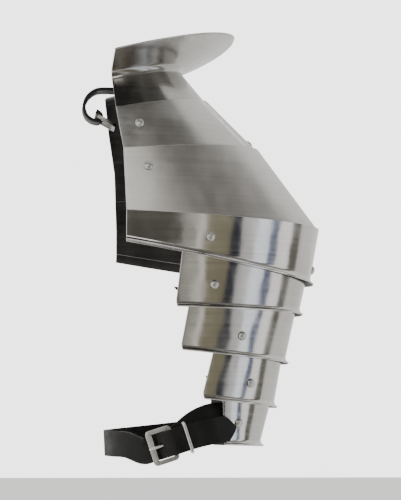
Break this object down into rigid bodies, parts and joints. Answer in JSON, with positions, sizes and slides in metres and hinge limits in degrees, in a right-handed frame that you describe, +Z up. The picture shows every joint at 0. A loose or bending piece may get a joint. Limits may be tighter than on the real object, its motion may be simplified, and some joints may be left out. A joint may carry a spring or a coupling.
{
  "type": "pauldron",
  "caption": "Polished steel pauldron with a flared neck guard, lapped shoulder plates, a broad band, pivoting arm lames with turned edges and a buckled leather arm strap.",
  "frame": {"origin": "seat on top of the wearer's shoulder, under the neck strap, on the plane that halves front and back", "axes": "+X outward along the shoulder, +Y to the wearer's back, +Z up"},
  "size_m": [0.1913, 0.1918, 0.3429],
  "materials": {
    "steel_plate": "polished sheet steel with fine polishing lines, blackened inside",
    "rivet_steel": "polished steel rivet heads",
    "buckle_metal": "nickel plate, lightly worn",
    "black_leather": "dyed black strap leather with a slight sheen"
  },
  "bodies": {
    "cap": {"top_plate": "steel_plate", "upper_plate": "steel_plate", "main_plate": "steel_plate", "shoulder_band": "steel_plate", "lame_1": "steel_plate", "upper_rivet_front": "rivet_steel", "upper_rivet_back": "rivet_steel", "upper_rivet_ridge": "rivet_steel", "main_rivet_front": "rivet_steel", "main_rivet_back": "rivet_steel", "band_rivet_front": "rivet_steel", "band_rivet_back": "rivet_steel", "band_rivet_ridge": "rivet_steel", "lame_1_rivet_front": "rivet_steel", "lame_1_rivet_back": "rivet_steel", "neck_strap": "black_leather", "neck_buckle": "buckle_metal"},
    "second_lame": {"lame_2": "steel_plate", "lame_2_rivet_front": "rivet_steel", "lame_2_rivet_back": "rivet_steel"},
    "third_lame": {"lame_3": "steel_plate", "lame_3_rivet_front": "rivet_steel", "lame_3_rivet_back": "rivet_steel"},
    "fourth_lame": {"lame_4": "steel_plate", "lame_4_rivet_front": "rivet_steel", "lame_4_rivet_back": "rivet_steel", "arm_strap_buckle_end": "black_leather", "arm_strap_tongue_end": "black_leather", "arm_buckle_frame": "buckle_metal", "arm_buckle_prong": "buckle_metal", "arm_strap_keeper": "buckle_metal"}
  },
  "joints": [
    {"name": "lame_2_pivot", "type": "hinge", "parent": "cap", "child": "second_lame", "pos_m": [0.0391, 0, -0.1502], "axis": [0, -1, 0], "range_deg": [0, 6]},
    {"name": "lame_3_pivot", "type": "hinge", "parent": "second_lame", "child": "third_lame", "pos_m": [0.0621, 0, -0.1887], "axis": [0, -1, 0], "range_deg": [0, 6]},
    {"name": "lame_4_pivot", "type": "hinge", "parent": "third_lame", "child": "fourth_lame", "pos_m": [0.07, 0, -0.225], "axis": [0, -1, 0], "range_deg": [0, 6]}
  ]
}
